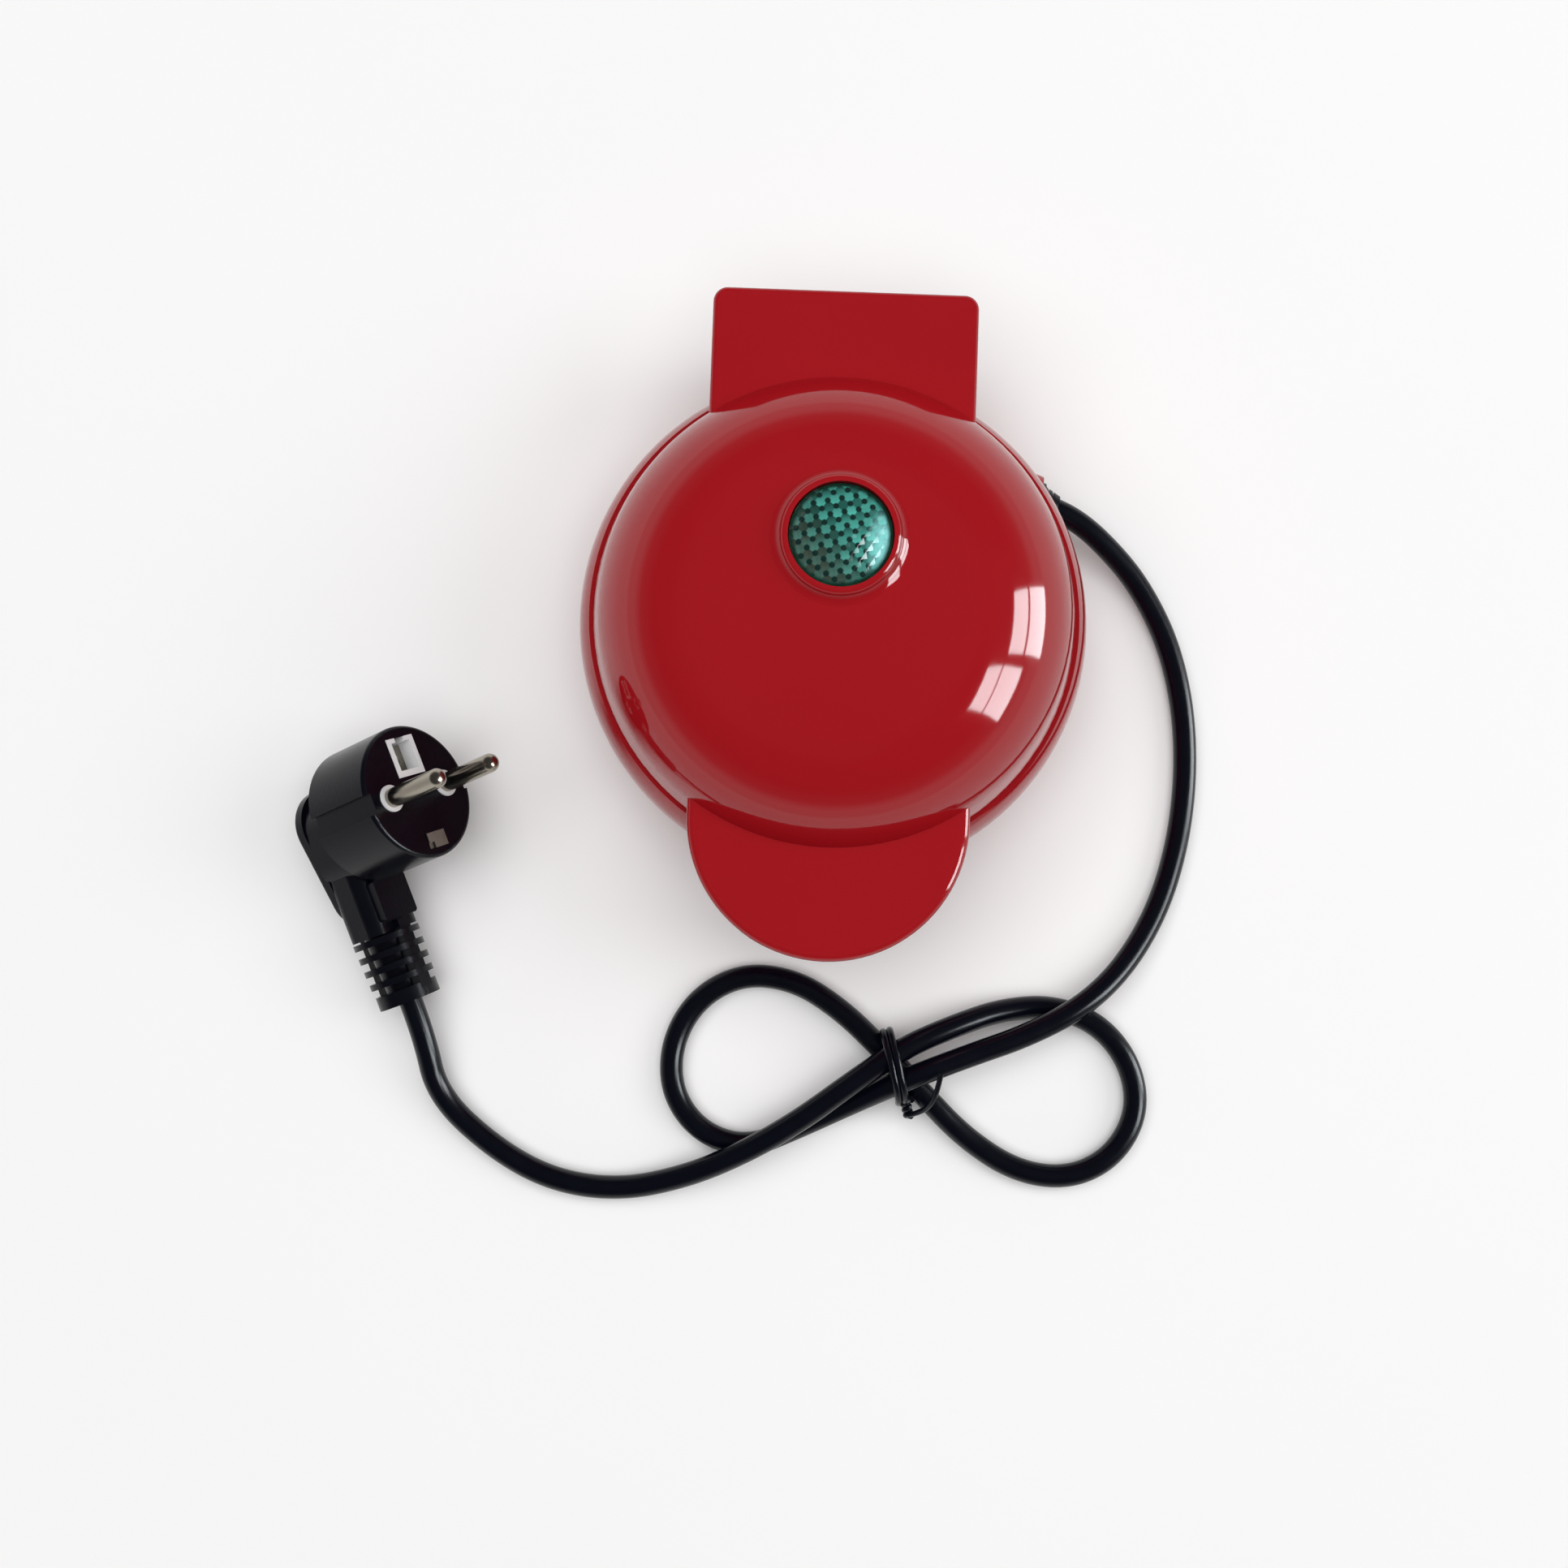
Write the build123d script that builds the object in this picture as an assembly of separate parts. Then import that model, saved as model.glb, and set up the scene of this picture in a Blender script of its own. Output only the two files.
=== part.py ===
from build123d import *
import math
import os

os.makedirs("parts", exist_ok=True)

# A countertop grill for one small round: a red clam-shell housing with two ribbed round plates,
# a lid on a rear hinge, an indicator lens in the lid, and a mains lead tied in a figure of eight.
# All lengths are in millimetres. The model is drawn about the plates' axis, with z = 0 on the table,
# and is moved by PLATE_AXIS_Y when it is written, so that the origin is under the middle of its box.

# Overall housing
BODY_RADIUS = 63.5          # widest ring of the base
TONGUE_TIP = 83.5           # front of the handle tongue, from the plates' axis
TAB_END = 77.9              # back of the hinge tab, from the plates' axis
PLATE_AXIS_Y = (TONGUE_TIP - TAB_END) / 2
WALL = 2.0

# Heights
FOOT_HEIGHT = 5.0
WIDEST_Z = 26.0
DECK_Z = 38.5               # top of the base around the plate
LID_Z = 39.3                # lower edge of the lid
TAB_Z = 50.0                # top of the tongue and the hinge tab
CROWN_Z = 72.0              # top of the dome
SHOULDER_Z = 66.4           # where the dome's wall and its crown would meet
LOWER_TAB_Z = 27.5          # underside of the base's tongue and tab
HINGE_DECK_Z = 37.3         # the base's deck is lower under the hinge

# Dome
LID_RADIUS = 59.2           # at the lid's lower edge
SHOULDER_CORNER = 52.6      # where the dome's wall and its crown would meet
SHOULDER_ROUND = 30.0

# Plan of the tongue and the tab
TONGUE_RADIUS = 33.7
TAB_HALF_WIDTH = 32.1
TAB_CORNER = 3.5

# Lens in the lid
LENS_Y = 13.6
LENS_RADIUS = 11.85
COLLAR_TOP_Z = 75.2
COLLAR_RADIUS = 13.9
FLARE_WIDTH = 3.7           # the hollow between the collar and the dome
FLARE_ROUND = 4.55
FLARE_LAP = 0.4             # the flare runs on this far into the collar's wall

# Plates
PLATE_RADIUS = 52.0
PLATE_OPENING = 52.25
PLATE_FLANGE = 54.4
PLATE_RIM_GAP = 0.4
RECESS_RADIUS = 48.0
RECESS_DEPTH = 6.5
RIB_HEIGHT = 3.0
RIB_PITCH = 7.0
RIB_WIDTH = 2.6
PLATE_FLOOR = 3.0
PLATE_MID_Z = 39.0          # the plates mirror each other about this height
PLATE_SCREW_ANGLES = (65, 115, 240, 300)
PLATE_SCREW_CIRCLE = 56.4
PLATE_BACK_Z = PLATE_MID_Z - PLATE_RIM_GAP / 2 - RECESS_DEPTH - PLATE_FLOOR

# Heaters under the plates
HEATER_RADIUS = 33.0
HEATER_TUBE = 3.2
HEATER_SEAT = 1.6
HEATER_Z = PLATE_BACK_Z - HEATER_SEAT
HEATER_LEG_X = 7.0
HEATER_LEG_Y = math.sqrt(HEATER_RADIUS ** 2 - HEATER_LEG_X ** 2)
CLAMP_TOP_Z = HEATER_Z - HEATER_TUBE
CLAMP_THICKNESS = 1.2
CLAMP_SCREW_ANGLES = (30, 150, 270)
CLAMP_SCREW_CIRCLE = 19.0

# Hinge
HINGE_Y = TAB_END - 6.0
HINGE_Z = 44.3
KNUCKLE_RADIUS = 3.4
KNUCKLE_HALF = 27.0
PIN_RADIUS = 1.5
LID_SWEEP = 6.8             # the lid's lower rear corner is cut to this radius about the hinge

# Mains lead
CORD_DIAMETER = 6.0
EXIT_POINT = Vector(41.0, 40.0, 12.6)
EXIT_DIRECTION = Vector(0.945, -0.307, -0.12).normalized()
BUSHING_OUT = 17.0
COVER_TOP_Z = FOOT_HEIGHT + 2.2
CLAMP_PLACE = (15.6, 36.8)
CLAMP_TURN = -35.0

# Plug, lying on its side: the middle of its face, its turn about Z, the slope of its cable
# towards the table and the angle of its pins above the table
PLUG_FACE = Vector(-101.4, -45.6, 29.4)
PLUG_YAW = 23.0
PLUG_SLOPE = 3.0
PLUG_TILT = 36.0
PLUG_CABLE_DEPTH = 29.5
PLUG_LENGTH = 48.5
PIN_X = 9.5
PIN_ROOT = 1.9              # a pin's radius inside its white ring
RING_PROUD = 0.4
SHANK_START = 0.5           # a pin's full thickness starts this far out of the face
EARTH_Y = 9.2
CONTACT_Y = -12.8

# Wires: up through the base's tab to the hinge's axis, and on from there into the lid
BASE_LOOM = [
    (-3.5, 29.5, 12.5), (-4.0, 44.0, 20.0), (-5.0, 57.5, 31.8), (-5.0, HINGE_Y - 1.2, 31.9),
    (-5.0, HINGE_Y, HINGE_Z), (-0.1, HINGE_Y, HINGE_Z),
]
BASE_LOOM_RADII = [8.0, 6.0, 4.0, 3.0]
LID_LOOM = [
    (0.1, HINGE_Y, HINGE_Z), (5.5, HINGE_Y, HINGE_Z), (5.0, 63.0, 44.4), (1.5, 53.0, 46.2),
    (0.0, 44.5, 54.0), (0.0, 33.0, 60.5), (0.0, 26.0, 61.5),
]
LID_LOOM_RADII = [3.0, 4.0, 5.0, 6.0, 5.0]

CENTRE_MIN = (Align.CENTER, Align.CENTER, Align.MIN)
CENTRE_MAX = (Align.CENTER, Align.CENTER, Align.MAX)


def save(node, shape):
    export_step(Pos(0, PLATE_AXIS_Y, 0) * shape, f"parts/{node}.step")


def post(x, y, z0, z1, radius):
    return Pos(x, y, z0) * Cylinder(radius, z1 - z0, align=CENTRE_MIN)


def slab(x0, x1, y0, y1, z0, z1):
    box = Box(x1 - x0, y1 - y0, z1 - z0)
    return Pos((x0 + x1) / 2, (y0 + y1) / 2, (z0 + z1) / 2) * box


def polar(angle, radius):
    a = math.radians(angle)
    return radius * math.cos(a), radius * math.sin(a)


def turned(*edges):
    """A solid turned about the plates' axis from edges drawn as (radius, height)."""
    return revolve(Plane.XZ * make_face(edges), axis=Axis.Z)


def crown_arc(corner, top):
    """An arc from a corner up to the axis, which it meets level."""
    rise = top[1] - corner[1]
    radius = (corner[0] ** 2 + rise ** 2) / (2 * rise)
    half = corner[0] / 2
    middle = (half, top[1] - radius + math.sqrt(radius ** 2 - half ** 2))
    return ThreePointArc(corner, middle, top)


# Housing forms, each drawn once and used for the outside and, inset by the wall, for the inside

def tongue_plan(inset):
    radius = TONGUE_RADIUS - inset
    y = -(TONGUE_TIP - TONGUE_RADIUS)
    return Pos(0, y / 2) * Rectangle(2 * radius, -y) + Pos(0, y) * Circle(radius)


def tab_plan(inset):
    width = 2 * (TAB_HALF_WIDTH - inset)
    length = TAB_END - inset
    corners = Pos(0, length / 2) * RectangleRounded(width, length, TAB_CORNER - 0.6 * inset)
    return corners + Pos(0, length / 4) * Rectangle(width, length / 2)


def rounded_pad(plan, z0, z1, top_round):
    pad = Pos(0, 0, z0) * extrude(plan, amount=z1 - z0)
    if top_round:
        top_edges = pad.faces().sort_by(Axis.Z)[-1].edges()
        pad = fillet(top_edges, top_round)
    return pad


def dome(inset):
    """The lid's round body: a drafted wall, a soft shoulder and a low crown."""
    foot = (LID_RADIUS - inset, LID_Z if inset == 0 else LID_Z - 1)
    corner = (SHOULDER_CORNER - inset, SHOULDER_Z - inset)
    top = (0, CROWN_Z - inset)
    face = make_face([
        Line((0, foot[1]), foot),
        Line(foot, corner),
        crown_arc(corner, top),
        Line(top, (0, foot[1])),
    ])
    shoulder = face.vertices().sort_by_distance(corner)[0]
    face = fillet(shoulder, SHOULDER_ROUND - inset)
    return revolve(Plane.XZ * face, axis=Axis.Z)


def lid_form(inset):
    z0 = LID_Z if inset == 0 else LID_Z - 1
    tongue = rounded_pad(tongue_plan(inset), z0, TAB_Z - inset, 2.0 if inset == 0 else 0)
    tab = rounded_pad(tab_plan(inset), z0, TAB_Z - inset, 1.5 if inset == 0 else 0)
    return dome(inset) + tongue + tab


def bowl(inset):
    """The base's round body: widest a little above its middle, drawn in to the rim and the foot."""
    top = DECK_Z - inset
    low = FOOT_HEIGHT if inset == 0 else FOOT_HEIGHT - 1
    upper = 24.07 - inset
    lower = 16.95 - inset
    rise = math.degrees(math.asin((top - WIDEST_Z) / upper))
    drop = 47.5
    upper_arc = CenterArc((BODY_RADIUS - 24.07, WIDEST_Z), upper, 0, rise)
    lower_arc = CenterArc((BODY_RADIUS - 16.95, WIDEST_Z), lower, 0, -drop)
    rim = upper_arc @ 1
    knee = lower_arc @ 1
    foot = (knee.X - (knee.Y - low) * math.tan(math.radians(drop)), low)
    face = make_face([
        Line((0, low), foot),
        Line(foot, knee),
        lower_arc,
        upper_arc,
        Line(rim, (0, top)),
        Line((0, top), (0, low)),
    ])
    return revolve(Plane.XZ * face, axis=Axis.Z)


def base_pads(inset):
    z0 = LOWER_TAB_Z if inset == 0 else LOWER_TAB_Z - 1
    top = DECK_Z - inset
    tongue = rounded_pad(tongue_plan(inset + 0.3), z0, top, 0)
    tab = rounded_pad(tab_plan(inset + 0.3), z0, top, 0)
    step = 62 if inset == 0 else 60
    return tongue + tab - slab(-40, 40, step, 90, HINGE_DECK_Z - inset, 60)


# Base

def knuckle(x0, x1):
    """One half of the base's hinge barrel, on a web that leaves the lid's rear wall room to swing."""
    barrel = Pos(x0, HINGE_Y, HINGE_Z) * Rot(0, 90, 0) * Cylinder(
        KNUCKLE_RADIUS, x1 - x0, align=CENTRE_MIN)
    web = slab(x0, x1, HINGE_Y - KNUCKLE_RADIUS, HINGE_Y + 0.9, HINGE_DECK_Z - 1, HINGE_Z)
    return barrel + web


def pin_bores(radius):
    bores = []
    for side in (-1, 1):
        bore = Pos(side * 17.0, HINGE_Y, HINGE_Z) * Rot(0, side * 90, 0)
        bores.append(bore * Cylinder(radius, 14.0, align=CENTRE_MIN))
    return bores


def cover_boss_places():
    return [polar(angle, 40.5) for angle in (0, 90, 180, 270)]


def cover_bosses():
    """Bosses for the bottom cover's screws, each on a web that runs out to the bowl's wall."""
    shape = None
    for angle in (0, 90, 180, 270):
        x, y = polar(angle, 40.5)
        boss = post(x, y, 8.0, 17.0, 3.2)
        web = Rot(0, 0, angle) * slab(40.5, 60.0, -1.0, 1.0, 10.0, 17.0)
        shape = boss + web if shape is None else shape + boss + web
    return shape


def exit_plane():
    side = EXIT_DIRECTION.cross(Vector(0, 0, 1))
    return Plane(origin=EXIT_POINT, x_dir=side, z_dir=EXIT_DIRECTION)


def base_shell():
    """The one-piece base: bowl, deck, pocketed tongue and tab, knuckles, bosses and lead outlet."""
    bowl_outside = bowl(0)
    outside = bowl_outside + base_pads(0)
    outlet = exit_plane() * Pos(0, 0, -16) * Cylinder(6.8, 27, align=CENTRE_MIN)
    shell = outside + outlet - bowl(WALL) - (base_pads(WALL) - bowl_outside)
    shell += (outlet - post(0, 0, 0, 30, 45.5)) - post(0, 0, 0, FOOT_HEIGHT, 90)
    for x in (-15.0, 0.0, 15.0):
        rib = slab(x - 0.8, x + 0.8, -TONGUE_TIP, -60, LOWER_TAB_Z + 1, DECK_Z - 1)
        shell += rib & base_pads(WALL / 2)
    shell += slab(-9.5, -0.5, 60, TAB_END - 3.5, LOWER_TAB_Z + 1, HINGE_DECK_Z - 1)
    shell += cover_bosses() & outside
    for angle in PLATE_SCREW_ANGLES:
        x, y = polar(angle, PLATE_SCREW_CIRCLE)
        shell += post(x, y, DECK_Z - WALL - 1.5, DECK_Z - 1, 1.9)
        shell -= post(x, y, DECK_Z - WALL - 3, DECK_Z - 0.8, 1.1)
    shell -= post(0, 0, 20, 60, PLATE_OPENING)
    for x, y in cover_boss_places():
        shell -= post(x, y, 6, 15, 1.1)
    shell -= exit_plane() * Pos(0, 0, -20) * Cylinder(4.6, 34, align=CENTRE_MIN)
    shell -= exit_plane() * Pos(0, 0, -13.2) * Cylinder(5.6, 1.9, align=CENTRE_MIN)
    shell += knuckle(-KNUCKLE_HALF, -8.0)
    shell += knuckle(8.0, KNUCKLE_HALF)
    for bore in pin_bores(PIN_RADIUS):
        shell -= bore
    return shell - tube_along(BASE_LOOM, BASE_LOOM_RADII, 1.8)


def foot_places():
    return [polar(angle, 36.0) for angle in (45, 135, 225, 315)]


def bottom_cover():
    """The bottom plate with its vents, locating rim, foot sockets and countersunk screw holes."""
    cover = post(0, 0, FOOT_HEIGHT, COVER_TOP_Z, 45.0)
    cover += post(0, 0, COVER_TOP_Z, COVER_TOP_Z + 1.8, 45.0)
    cover -= post(0, 0, COVER_TOP_Z, COVER_TOP_Z + 1.8, 44.0)
    cover -= slab(8.0, 22.0, 36.0, 50.0, COVER_TOP_Z, COVER_TOP_Z + 5)
    for index in range(-3, 4):
        length = 34.0 - 3.0 * abs(index)
        slot = Pos(index * 6.0, -6.0, FOOT_HEIGHT - 1) * extrude(
            SlotOverall(length, 2.4, rotation=90), amount=6)
        cover -= slot
    for x, y in foot_places():
        cover -= post(x, y, FOOT_HEIGHT - 1, FOOT_HEIGHT + 1.2, 6.0)
    for x, y in cover_boss_places():
        cover += post(x, y, COVER_TOP_Z, 8.0, 3.2)
    for x, y in cover_boss_places() + [clamp_screw_place()]:
        cover -= post(x, y, FOOT_HEIGHT - 1, 8.0, 1.6)
        cover -= post(x, y, FOOT_HEIGHT - 1, FOOT_HEIGHT + 1.2, 3.0)
    return cover


def feet():
    pads = []
    for x, y in foot_places():
        pad = post(x, y, 0, FOOT_HEIGHT + 1.2, 6.0)
        pad = chamfer(pad.edges().group_by(Axis.Z)[0], 0.8)
        dimple = Pos(x, y, -14.6) * Sphere(15.0)
        pads.append(pad - dimple)
    return Compound(children=pads)


def pan_screw(x, y, head_z, length, head_radius=2.8, head_height=1.2):
    """A self-tapping screw with a low cross-slotted head below head_z and its shank above it."""
    head = Cylinder(head_radius, head_height, align=CENTRE_MAX)
    head = fillet(head.edges().group_by(Axis.Z)[0], 0.5)
    slot = Box(0.7, 3.0, 1.2) + Box(3.0, 0.7, 1.2)
    head -= Pos(0, 0, -head_height) * slot
    screw = head + Cylinder(1.1, length, align=CENTRE_MIN)
    return Pos(x, y, head_z) * screw


def bottom_cover_screws():
    seat = FOOT_HEIGHT + 1.2
    return Compound(children=[pan_screw(x, y, seat, 8.6) for x, y in cover_boss_places()])


# Plates, both drawn as the lower one with its rim at PLATE_MID_Z; the upper one is its mirror

def grill_plate():
    """A die-cast dish with parallel ribs, a rolled rim, and a groove and studs for the heater."""
    rim_z = PLATE_MID_Z - PLATE_RIM_GAP / 2
    floor_z = rim_z - RECESS_DEPTH
    flange_z = DECK_Z - WALL
    body = turned(Polyline(
        (0, PLATE_BACK_Z), (45.5, PLATE_BACK_Z), (50.2, flange_z - 3.2), (50.2, flange_z - 1.5),
        (PLATE_FLANGE, flange_z - 1.5), (PLATE_FLANGE, flange_z), (PLATE_RADIUS, flange_z),
        (PLATE_RADIUS, rim_z), (RECESS_RADIUS + 1.2, rim_z), (RECESS_RADIUS - 1.6, floor_z),
        (0, floor_z), close=True))
    rim_edges = body.edges().filter_by(GeomType.CIRCLE).group_by(Axis.Z)[-1]
    body = fillet(rim_edges, 0.5)
    room = turned(Polyline(
        (0, floor_z - 0.5), (RECESS_RADIUS - 1.2, floor_z - 0.5), (RECESS_RADIUS + 0.6, rim_z - 1),
        (0, rim_z - 1), close=True))
    count = int(RECESS_RADIUS / RIB_PITCH)
    for index in range(-count, count + 1):
        x = index * RIB_PITCH
        half = math.sqrt((RECESS_RADIUS + 1.0) ** 2 - x ** 2)
        rib = Pos(x, 0, floor_z - 0.5) * extrude(
            Rectangle(RIB_WIDTH, 2 * half), amount=RIB_HEIGHT + 0.5, taper=11)
        body += rib & room
    seat = post(0, 0, HEATER_Z, PLATE_BACK_Z + 0.2, 40.0) - post(0, 0, 20, 40, 26.0)
    body += seat
    for angle in CLAMP_SCREW_ANGLES:
        x, y = polar(angle, CLAMP_SCREW_CIRCLE)
        body += post(x, y, CLAMP_TOP_Z, PLATE_BACK_Z + 0.5, 3.2)
        body -= post(x, y, CLAMP_TOP_Z - 1, PLATE_BACK_Z + 1.4, 1.1)
    body -= Pos(0, 0, HEATER_Z) * Torus(HEATER_RADIUS, HEATER_TUBE + 0.1)
    for side in (-1, 1):
        body -= post(side * HEATER_LEG_X, HEATER_LEG_Y, HEATER_Z - 1, HEATER_Z + 3.2, 3.9)
    return body


def heater():
    """A sheathed heating ring with a gap at the back, and its two straight terminals."""
    ring = Pos(0, 0, HEATER_Z) * Torus(HEATER_RADIUS, HEATER_TUBE)
    ring -= slab(-HEATER_LEG_X, HEATER_LEG_X, 0, 60, 0, 60)
    for side in (-1, 1):
        x = side * HEATER_LEG_X
        ring += post(x, HEATER_LEG_Y, HEATER_Z - HEATER_TUBE, HEATER_Z + 3.0, 3.6)
        ring += post(x, HEATER_LEG_Y, HEATER_Z - 7.5, HEATER_Z, 2.4)
        ring += post(x, HEATER_LEG_Y, HEATER_Z - 11.5, HEATER_Z - 7.5, 1.2)
    return ring


def heater_clamp():
    """A pressed steel spider that holds the heater in its groove."""
    low = CLAMP_TOP_Z - CLAMP_THICKNESS
    plate = post(0, 0, low, CLAMP_TOP_Z, 23.0)
    for angle in CLAMP_SCREW_ANGLES:
        plate += Rot(0, 0, angle) * slab(0, 38.0, -5.0, 5.0, low, CLAMP_TOP_Z)
    plate -= post(0, 0, low - 1, CLAMP_TOP_Z + 1, 9.0)
    for angle in CLAMP_SCREW_ANGLES:
        x, y = polar(angle, CLAMP_SCREW_CIRCLE)
        plate -= post(x, y, low - 1, CLAMP_TOP_Z + 1, 1.7)
    return plate


def clamp_screws():
    screws = []
    for angle in CLAMP_SCREW_ANGLES:
        x, y = polar(angle, CLAMP_SCREW_CIRCLE)
        screws.append(pan_screw(x, y, CLAMP_TOP_Z - CLAMP_THICKNESS, 5.4))
    return Compound(children=screws)


def plate_screws():
    """Screws beside the plate, whose heads hold its flange against the deck."""
    flange_z = DECK_Z - WALL - 1.5
    screws = []
    for angle in PLATE_SCREW_ANGLES:
        x, y = polar(angle, PLATE_SCREW_CIRCLE)
        screws.append(pan_screw(x, y, flange_z, 2.6, head_radius=2.7))
    return Compound(children=screws)


def mirrored(shape):
    return Pos(0, 0, 2 * PLATE_MID_Z) * mirror(shape, about=Plane.XY)


# Electrical parts in the base

def thermostat():
    """A disc thermostat on the back of the lower plate, with its two tags."""
    body = post(0, 0, PLATE_BACK_Z - 7.0, PLATE_BACK_Z, 8.0)
    body += post(0, 0, PLATE_BACK_Z - 11.0, PLATE_BACK_Z - 7.0, 7.0)
    for side in (-1, 1):
        body += Pos(side * 8.0, 0, PLATE_BACK_Z - 11.4) * Box(7.0, 3.2, 0.8)
    return body


def tube_along(points, radii, radius):
    path = FilletPolyline(*points, radius=radii)
    section = Plane(origin=path @ 0, z_dir=path % 0) * Circle(radius)
    return sweep(section, path=path)


def thermal_fuse():
    """The one-shot fuse in its glass-fibre sleeve, tied under the heater's clamp."""
    sleeve = Cylinder(2.4, 22.0)
    sleeve = chamfer(sleeve.edges(), 0.6)
    low = CLAMP_TOP_Z - CLAMP_THICKNESS
    return Pos(-16.0, -9.0, low - 2.4) * Rot(0, 0, 60) * Rot(0, 90, 0) * sleeve


def terminal_block():
    """A two-way ceramic block on the bottom cover, open for the wires and for its clamp screws."""
    block = slab(-11.0, 11.0, 15.0, 28.0, COVER_TOP_Z, COVER_TOP_Z + 8.0)
    for x in (-5.5, 5.5):
        block -= Pos(x, 21.5, COVER_TOP_Z + 4.0) * Rot(90, 0, 0) * Cylinder(1.9, 20.0)
        for y in (18.0, 25.0):
            block -= post(x, y, COVER_TOP_Z + 4.0, COVER_TOP_Z + 10.0, 1.6)
    return block


def base_wiring():
    """The sleeved wires from the terminal block to the hinge, ending on the hinge's axis."""
    return tube_along(BASE_LOOM, BASE_LOOM_RADII, 1.5)


def lid_wiring():
    """The same wires on the lid's side, from the hinge's axis to the lamp holder."""
    return tube_along(LID_LOOM, LID_LOOM_RADII, 1.5)


# Mains lead, its bushing in the base and its clamp

def cord_bushing():
    """The moulded strain relief: neck and locking flange in the outlet, a notched taper outside."""
    neck = Pos(0, 0, -16) * Cylinder(4.6, 27.0, align=CENTRE_MIN)
    flange = Pos(0, 0, -13) * Cylinder(5.5, 1.5, align=CENTRE_MIN)
    collar = Pos(0, 0, 11) * Cylinder(5.4, 1.4, align=CENTRE_MIN)
    taper = Pos(0, 0, 12.4) * Cone(4.8, 3.7, BUSHING_OUT - 12.4, align=CENTRE_MIN)
    shape = neck + flange + collar + taper
    for z in (13.6, 15.0):
        shape -= Pos(0, 0, z) * (Cylinder(6, 0.7) - Cylinder(3.7, 0.7))
    bore = Pos(0, 0, -20) * Cylinder(CORD_DIAMETER / 2, 20 + BUSHING_OUT - 2.5, align=CENTRE_MIN)
    return exit_plane() * (shape - bore)


def tail_tube(radius):
    start = EXIT_POINT + EXIT_DIRECTION * (BUSHING_OUT - 2.5)
    knee = EXIT_POINT - EXIT_DIRECTION * 20.0
    route = [start, knee, (14.0, 34.5, 12.8), (7.0, 31.2, 11.6)]
    return tube_along(route, [5.0, 6.0], radius)


def cord_tail():
    """The stretch of the lead inside the base, from the bushing to the terminal block."""
    return tail_tube(CORD_DIAMETER / 2)


def clamp_screw_place():
    x, y = polar(CLAMP_TURN, 6.0)
    return CLAMP_PLACE[0] + x, CLAMP_PLACE[1] + y


def cord_clamp():
    """A saddle round the lead inside the base, screwed down through the bottom cover."""
    x, y = CLAMP_PLACE
    turn = Pos(x, y, COVER_TOP_Z) * Rot(0, 0, CLAMP_TURN)
    saddle = turn * Pos(2.4, 0, 0) * Box(14.0, 6.0, 10.8, align=CENTRE_MIN)
    saddle = fillet(saddle.edges().group_by(Axis.Z)[-1], 1.2)
    sx, sy = clamp_screw_place()
    saddle -= post(sx, sy, COVER_TOP_Z - 1, COVER_TOP_Z + 6.4, 1.1)
    return saddle - tail_tube(CORD_DIAMETER / 2 + 0.02)


def cord_clamp_screw():
    x, y = clamp_screw_place()
    return pan_screw(x, y, FOOT_HEIGHT + 1.2, 7.0)


# Free mains lead, as one line from the bushing round both loops to the plug

def plug_axes():
    yaw = math.radians(PLUG_YAW)
    slope = math.radians(PLUG_SLOPE)
    tilt = math.radians(PLUG_TILT)
    cable = Vector(math.sin(yaw) * math.cos(slope), -math.cos(yaw) * math.cos(slope), -math.sin(slope))
    level = Vector(math.cos(yaw), math.sin(yaw), 0)
    rise = cable.cross(level)
    pins = level * math.cos(tilt) + rise * math.sin(tilt)
    return cable, pins


def plug_plane():
    """Origin in the middle of the plug's face, Z along the pins, Y away from the cable."""
    cable, pins = plug_axes()
    return Plane(origin=PLUG_FACE, x_dir=(cable * -1).cross(pins), z_dir=pins)


def cord_route():
    cable, pins = plug_axes()
    start = EXIT_POINT + EXIT_DIRECTION * BUSHING_OUT
    end = PLUG_FACE - pins * PLUG_CABLE_DEPTH + cable * PLUG_LENGTH
    free = [
        (75.5, 22.6, 6.4), (83.2, 13.0, 4.2), (89.6, 0.6, 3.0), (93.6, -15.5, 3.0),
        (94.7, -33.0, 3.0), (93.0, -51.0, 3.0), (88.2, -68.3, 3.4), (79.3, -83.4, 6.4),
        (68.2, -94.0, 10.0), (54.0, -101.8, 10.8), (39.3, -107.3, 11.8), (24.2, -113.4, 12.8),
        (10.3, -120.9, 5.2), (-3.5, -128.0, 3.0), (-16.6, -134.0, 3.0), (-29.2, -130.6, 3.0),
        (-37.2, -120.5, 3.0), (-37.6, -107.3, 3.0), (-31.2, -95.6, 3.0), (-19.6, -89.0, 3.0),
        (-6.0, -90.2, 3.0), (6.0, -97.2, 3.4), (17.2, -107.2, 4.8), (28.2, -118.5, 4.8),
        (39.6, -129.5, 3.4), (53.0, -137.5, 3.0), (66.8, -138.9, 3.0), (78.2, -132.9, 3.0),
        (84.3, -121.3, 3.0), (82.2, -109.0, 3.0), (74.0, -98.9, 3.0), (61.5, -94.4, 3.2),
        (47.5, -95.8, 5.5), (34.5, -100.4, 10.0), (21.8, -106.2, 11.9), (9.3, -115.4, 11.8),
        (-4.0, -125.8, 10.8), (-17.3, -134.0, 10.6), (-32.2, -141.4, 6.2), (-49.5, -146.0, 3.0),
        (-67.0, -144.2, 3.0), (-82.6, -136.4, 3.2), (-97.6, -123.2, 4.8),
    ]
    route = [start, start + EXIT_DIRECTION * 6.5]
    route += [Vector(*point) for point in free]
    route += [end + cable * 10.0, end]
    return route


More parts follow.
